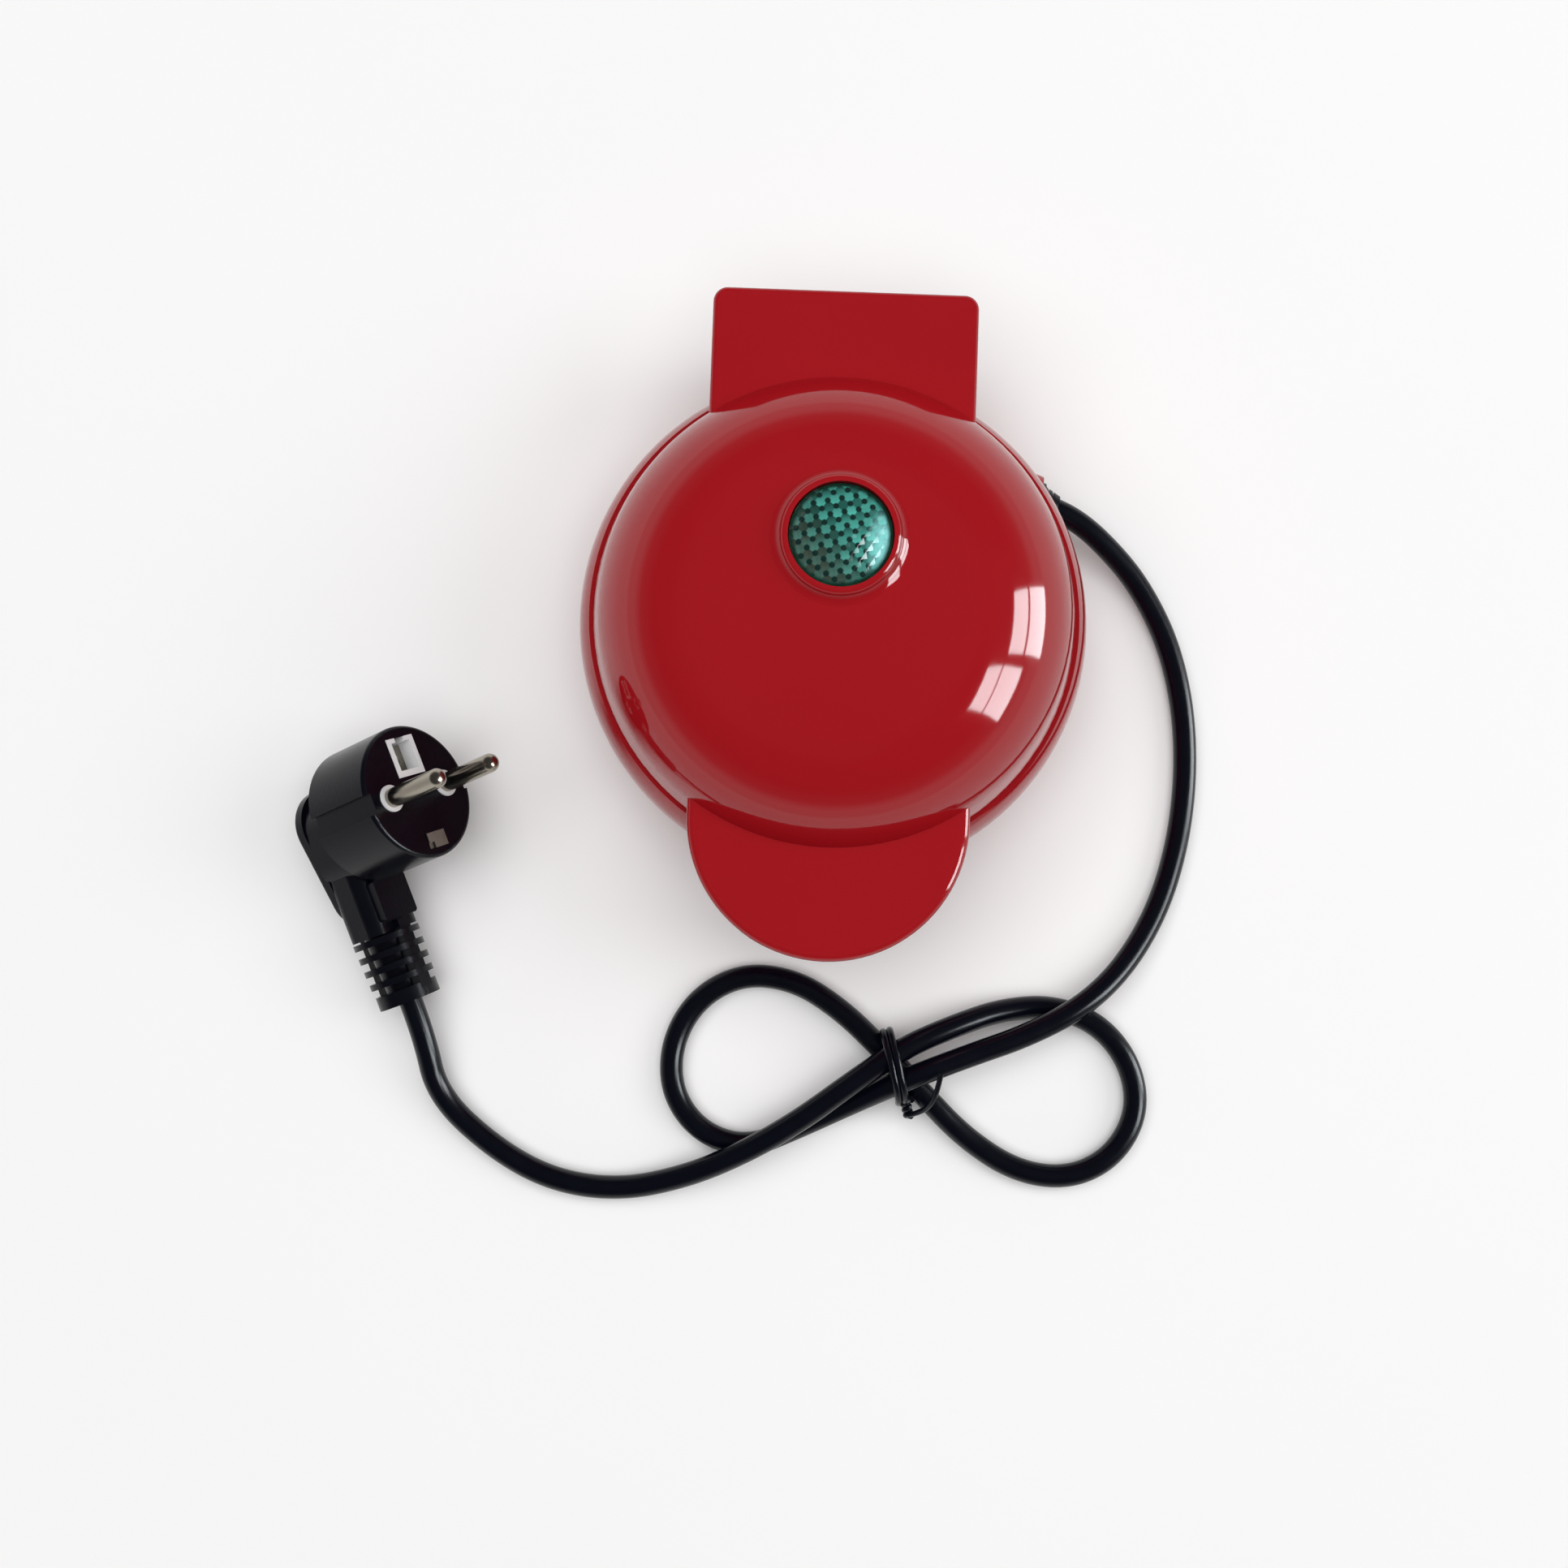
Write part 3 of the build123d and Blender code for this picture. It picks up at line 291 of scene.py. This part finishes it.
def prism_painted_light(tree, grid, cell, x):
    """Painted light and pattern: brighter at the right of the lens, by each prism's painted glint and
    facet shade, and in every other prism by a checker pattern.
    """
    checks = tree.nodes.new("ShaderNodeTexChecker")
    checks.inputs["Scale"].default_value = 1.0
    tree.links.new(grid, checks.inputs["Vector"])
    # Painted light: the prisms grow brighter towards the right of the lens
    painted_right = calculate(tree, "MULTIPLY", rising(tree, x, *PAINTED_LIGHT_RIGHT), SHARE_PAINTED_RIGHT)
    painted_glint = calculate(tree, "MULTIPLY", prism_painted_glint(tree, grid, cell), SHARE_PAINTED_GLINT)
    check = calculate(tree, "MULTIPLY", checks.outputs["Fac"], SHARE_CHECK)
    return calculate(tree, "ADD", calculate(tree, "ADD", painted_right, painted_glint), check)


def lens_colour(tree, local, grid, cell, reach):
    x, y, _ = axes_of(tree, local)
    lit_green = blend(tree, prism_painted_light(tree, grid, cell, x), LENS_SHADED, LENS_LIT)
    brown = rising(tree, calculate(tree, "ADD", x, y), *LOWER_LEFT)
    tinted = blend(tree, calculate(tree, "MULTIPLY", brown, SHARE_BROWN), lit_green, LENS_BROWN)
    from_corner = length_of(tree, vector_node(tree, "SUBTRACT", reach, (0.5, 0.5, 0)))
    dotted = blend(tree, rising(tree, from_corner, *SPOT_EDGE), LENS_SPOT, tinted)
    # Painted highlight: a bright patch near the right edge of the lens
    squashed = vector_node(tree, "MULTIPLY", local, HIGHLIGHT_SQUASH)
    from_highlight = length_of(tree, vector_node(tree, "SUBTRACT", squashed, HIGHLIGHT_PLACE))
    painted_highlight = calculate(tree, "MULTIPLY", rising(tree, from_highlight, *HIGHLIGHT_EDGE), SHARE_HIGHLIGHT)
    lit = blend(tree, painted_highlight, dotted, LENS_PAINTED_HIGHLIGHT)
    from_middle = length_of(tree, vector_node(tree, "MULTIPLY", local, (1, 1, 0)))
    return blend(tree, rising(tree, from_middle, *RIM_EDGE), lit, LENS_RIM)


def make_lens_material():
    material, tree, shader = new_material("lens_green")
    local = lens_coords(tree)
    grid = prism_grid(tree, local)
    cell = vector_node(tree, "SUBTRACT", vector_node(tree, "FRACTION", grid), (0.5, 0.5, 0))
    reach = vector_node(tree, "ABSOLUTE", cell)
    reach_x, reach_y, _ = axes_of(tree, reach)
    tree.links.new(lens_colour(tree, local, grid, cell, reach), shader.inputs["Base Color"])
    shader.inputs["Roughness"].default_value = 0.16
    shader.inputs["Coat Weight"].default_value = 0.6
    shader.inputs["Coat Roughness"].default_value = 0.04
    bump(tree, shader, calculate(tree, "MAXIMUM", reach_x, reach_y), PRISM_DEPTH, strength=0.8)
    return material


LENS = make_lens_material()

CAD_MATERIALS = {
    "base_shell": RED, "lid_shell": RED, "bottom_cover": BLACK_SATIN, "lid_liner": BLACK_SATIN,
    "lens_retainer": BLACK_SATIN, "cord_clamp": BLACK_SATIN, "feet": RUBBER,
    "lower_plate": CAST, "upper_plate": CAST, "lower_heater": SHEATH, "upper_heater": SHEATH,
    "bottom_cover_screws": STEEL, "lower_plate_screws": STEEL, "upper_plate_screws": STEEL,
    "lower_clamp_screws": STEEL, "upper_clamp_screws": STEEL, "liner_screws": STEEL,
    "cord_clamp_screw": STEEL, "hinge_pins": STEEL, "lower_heater_clamp": STEEL,
    "upper_heater_clamp": STEEL, "thermostat": BRASS, "thermal_fuse": SLEEVE,
    "terminal_block": WHITE, "base_wiring": SLEEVE, "lid_wiring": SLEEVE, "lamp_holder": WHITE,
    "neon_lamp": LAMP, "lens": LENS, "cord_bushing": PLUG, "cord_tail": CORD, "power_cord": CORD,
    "twist_tie": CORD, "plug_body": PLUG, "plug_insert": WHITE, "plug_pins": NICKEL,
    "plug_earth_contacts": DULL,
}
for name, material in CAD_MATERIALS.items():
    slots = nodes[name].data.materials
    slots.clear()
    slots.append(material)


# Mains lead: the same route as the part's, as a smooth curve through the runs' middles

EXIT = place(41.0, 40.0, 12.6)
EXIT_DIRECTION = Vector((0.945, -0.307, -0.12)).normalized()
BUSHING_OUT = 0.017
LEAD_RADIUS = 0.003
LEAD_OUT = 0.0065       # how far the lead runs straight on from the bushing
LEAD_IN = 0.010         # and straight into the plug
PLUG_FACE = place(-101.4, -45.6, 29.4)
PLUG_LENGTH = 0.0485
PLUG_DEPTH = 0.0295
PLUG_YAW = math.radians(23.0)
PLUG_SLOPE = math.radians(3.0)
PLUG_TILT = math.radians(36.0)
LEAD_ROUTE = [
    (75.5, 22.6, 6.4), (83.2, 13.0, 4.2), (89.6, 0.6, 3.0), (93.6, -15.5, 3.0),
    (94.7, -33.0, 3.0), (93.0, -51.0, 3.0), (88.2, -68.3, 3.4), (79.3, -83.4, 6.4),
    (68.2, -94.0, 10.0), (54.0, -101.8, 10.8), (39.3, -107.3, 11.8), (24.2, -113.4, 12.8),
    (10.3, -120.9, 5.2), (-3.5, -128.0, 3.0), (-16.6, -134.0, 3.0), (-29.2, -130.6, 3.0),
    (-37.2, -120.5, 3.0), (-37.6, -107.3, 3.0), (-31.2, -95.6, 3.0), (-19.6, -89.0, 3.0),
    (-6.0, -90.2, 3.0), (6.0, -97.2, 3.4), (17.2, -107.2, 4.8), (28.2, -118.5, 4.8),
    (39.6, -129.5, 3.4), (53.0, -137.5, 3.0), (66.8, -138.9, 3.0), (78.2, -132.9, 3.0),
    (84.3, -121.3, 3.0), (82.2, -109.0, 3.0), (74.0, -98.9, 3.0), (61.5, -94.4, 3.2),
    (47.5, -95.8, 5.5), (34.5, -100.4, 10.0), (21.8, -106.2, 11.9), (9.3, -115.4, 11.8),
    (-4.0, -125.8, 10.8), (-17.3, -134.0, 10.6), (-32.2, -141.4, 6.2), (-49.5, -146.0, 3.0),
    (-67.0, -144.2, 3.0), (-82.6, -136.4, 3.2), (-97.6, -123.2, 4.8),
]


def plug_axes():
    """The directions in which the lead leaves the plug and in which its pins point."""
    level = Vector((math.cos(PLUG_YAW), math.sin(PLUG_YAW), 0))
    run = math.cos(PLUG_SLOPE)
    cable = Vector((math.sin(PLUG_YAW) * run, -math.cos(PLUG_YAW) * run, -math.sin(PLUG_SLOPE)))
    rise = cable.cross(level)
    pins = level * math.cos(PLUG_TILT) + rise * math.sin(PLUG_TILT)
    return cable, pins


CABLE, PINS = plug_axes()
LEAD_START = EXIT + EXIT_DIRECTION * BUSHING_OUT
LEAD_END = PLUG_FACE - PINS * PLUG_DEPTH + CABLE * PLUG_LENGTH


def tube(name, points, radius, resolution=24, rings=8):
    """A round strand along the points, in the lead's material."""
    curve = bpy.data.curves.new(name, "CURVE")
    curve.dimensions = "3D"
    spline = curve.splines.new("NURBS")
    spline.points.add(len(points) - 1)
    for target, point in zip(spline.points, points):
        target.co = (*point, 1)
    spline.order_u = 3
    spline.use_endpoint_u = True
    spline.resolution_u = resolution
    curve.bevel_depth = radius
    curve.bevel_resolution = rings
    curve.use_fill_caps = True
    curve.materials.append(CORD)
    made = bpy.data.objects.new(name, curve)
    bpy.context.scene.collection.objects.link(made)
    return made


lead_points = [LEAD_START, LEAD_START + EXIT_DIRECTION * LEAD_OUT]
lead_points += [place(*point) for point in LEAD_ROUTE]
lead_points += [LEAD_END + CABLE * LEAD_IN, LEAD_END]
lead = tube("lead", lead_points, LEAD_RADIUS)
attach(lead, "base")
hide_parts("power_cord")
plug_nodes = ["plug_body", "plug_insert", "plug_pins", "plug_earth_contacts"]


# Wire tie, in millimetres: two turns pulled tight round the crossing, a twisted knot and a loose end

TIE_MIDDLE = place(20.6, -111.0, 0)
TIE_ACROSS = Vector((0.29, -0.957, 0))
TIE_ALONG = Vector((0.957, 0.29, 0))
TIE_TURNS = 2
TIE_STEPS = 24          # points to a turn
TIE_REACH = 9.3         # half the width of a turn
TIE_RISE = 7.6          # half its height
TIE_HEIGHT = 8.4        # of its middle above the floor
TIE_SHIFT = 3.4         # from the first end to the last, along the bundle
KNOT_START = 9.4
KNOT_LENGTH = 4.5
KNOT_HEIGHT = 8.5
KNOT_DROP = 3.0
KNOT_TWIST = 0.7
KNOT_STEPS = 24
KNOT_STEPS_A_TURN = 8
TAIL_START = 12.9
TURN_RADIUS = 0.95
KNOT_RADIUS = 0.8
TAIL_RADIUS = 0.7
TAIL_STEPS = [(0, 0, 0), (3.4, 1.0, 2.0), (6.2, 5.0, 7.5), (7.0, 11.5, 10.5)]


def tie_point(across, along, height):
    flat = TIE_MIDDLE + TIE_ACROSS * across * MM + TIE_ALONG * along * MM
    return flat + Vector((0, 0, height * MM))


def turn_points():
    points = []
    last = TIE_TURNS * TIE_STEPS
    for index in range(last + 1):
        turn = 2 * math.pi * index / TIE_STEPS
        along = TIE_SHIFT * (index / last - 0.5)
        points.append(tie_point(TIE_REACH * math.cos(turn), along, TIE_HEIGHT + TIE_RISE * math.sin(turn)))
    return points


def knot_points():
    points = []
    for index in range(KNOT_STEPS + 1):
        share = index / KNOT_STEPS
        turn = 2 * math.pi * index / KNOT_STEPS_A_TURN
        height = KNOT_HEIGHT - KNOT_DROP * share + KNOT_TWIST * math.sin(turn)
        points.append(tie_point(KNOT_START + KNOT_LENGTH * share, KNOT_TWIST * math.cos(turn), height))
    return points


def tail_points():
    start = tie_point(TAIL_START, 0, KNOT_HEIGHT)
    return [start + Vector(step) * MM for step in TAIL_STEPS]


def make_tie():
    pieces = [
        tube("tie_turns", turn_points(), TURN_RADIUS * MM, resolution=6, rings=4),
        tube("tie_knot", knot_points(), KNOT_RADIUS * MM, resolution=6, rings=4),
        tube("tie_tail", tail_points(), TAIL_RADIUS * MM, resolution=10, rings=4),
    ]
    for piece in pieces:
        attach(piece, "base")
        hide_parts("twist_tie")
    return pieces


[nodes[name] for name in plug_nodes] + make_tie()


# Light, floor and background

OVERHEAD = 2.3          # radiance of the lamps' faces
SIDE = 2.6
PANE = 17.0
WINDOW_X = 1.2
PANE_COLOUR = (0.92, 0.97, 1.0)
PANES = [               # low and high y, low and high z
    (-0.61, -0.19, 0.39, 0.90), (-0.61, -0.19, 0.94, 1.44),
    (-0.10, 0.32, 0.02, 0.42), (-0.10, 0.32, 0.47, 0.87),
]
FLOOR_SIZE = 6.0
FLOOR_Z = -0.0002       # just under the feet
FLOOR_DARK = (0.94, 0.94, 0.94)
FLOOR_LIGHT = (0.97, 0.97, 0.97)
FLOOR_FADE = (0.25, 0.75)               # how far out the floor turns into plain white
HORIZON = (0.13, (0.74, 0.74, 0.74))    # heights are those of a direction of length 1
HALFWAY = (0.26, (0.26, 0.25, 0.25))
ZENITH = (0.48, (0.085, 0.080, 0.080))


def area(name, location, target, size, radiance, colour=(1, 1, 1), diffuse=True, glossy=True):
    """A flat lamp whose power comes from the radiance of its face."""
    data = bpy.data.lights.new(name, "AREA")
    data.shape = "RECTANGLE"
    data.size, data.size_y = size
    data.energy = radiance * size[0] * size[1] * math.pi
    data.color = colour
    light = bpy.data.objects.new(name, data)
    light.location = location
    light.rotation_mode = "QUATERNION"
    light.rotation_quaternion = (Vector(target) - Vector(location)).to_track_quat("-Z", "Y")
    light.visible_diffuse = diffuse
    light.visible_glossy = glossy
    bpy.context.scene.collection.objects.link(light)


def floor_material():
    """Pale and matt round the object, where it takes the shadow, and plain white farther out."""
    material, tree, shader = new_material("floor")
    pale = blend(tree, noise(tree, 3.0), FLOOR_DARK, FLOOR_LIGHT)
    tree.links.new(pale, shader.inputs["Base Color"])
    shader.inputs["Roughness"].default_value = 0.9
    shader.inputs["Specular IOR Level"].default_value = 0.1
    glow = tree.nodes.new("ShaderNodeEmission")
    glow.inputs["Strength"].default_value = 1.0
    both = tree.nodes.new("ShaderNodeMixShader")
    away = length_of(tree, object_coords(tree))
    tree.links.new(rising(tree, away, *FLOOR_FADE), both.inputs["Fac"])
    tree.links.new(shader.outputs["BSDF"], both.inputs[1])
    tree.links.new(glow.outputs["Emission"], both.inputs[2])
    tree.links.new(both.outputs["Shader"], tree.nodes["Material Output"].inputs["Surface"])
    return material


def make_floor():
    bpy.ops.mesh.primitive_plane_add(size=FLOOR_SIZE, location=(0, 0, FLOOR_Z))
    floor = bpy.context.object
    floor.name = "floor"
    floor.data.materials.append(floor_material())


def make_world():
    """A studio that is pale at the horizon and dark overhead, by the direction alone."""
    world = bpy.data.worlds.new("world")
    bpy.context.scene.world = world
    world.use_nodes = True
    tree = world.node_tree
    coords = tree.nodes.new("ShaderNodeTexCoord")
    height = axes_of(tree, coords.outputs["Generated"])[2]
    ramp = tree.nodes.new("ShaderNodeValToRGB")
    tree.links.new(height, ramp.inputs["Fac"])
    stops = ramp.color_ramp.elements
    for stop, (position, colour) in zip(stops, (HORIZON, ZENITH)):
        stop.position = position
        stop.color = (*colour, 1)
    position, colour = HALFWAY
    stops.new(position).color = (*colour, 1)
    background = tree.nodes["Background"]
    tree.links.new(ramp.outputs["Color"], background.inputs["Color"])
    background.inputs["Strength"].default_value = 1.0


def make_lights():
    """Soft light from above and from the window's side, and the window's panes as the gloss shows them."""
    area("overhead", (-0.2, 0.1, 1.8), (0, 0, 0), (2.2, 2.2), OVERHEAD, glossy=False)
    area("side", (1.6, 0.2, 1.3), (0, 0, 0.03), (1.2, 1.2), SIDE, glossy=False)
    for y0, y1, z0, z1 in PANES:
        y, z = (y0 + y1) / 2, (z0 + z1) / 2
        area("pane", (WINDOW_X, y, z), (0, y, z), (y1 - y0, z1 - z0), PANE, PANE_COLOUR, diffuse=False)


make_floor()
make_world()
make_lights()
bpy.context.scene.view_settings.view_transform = "Standard"
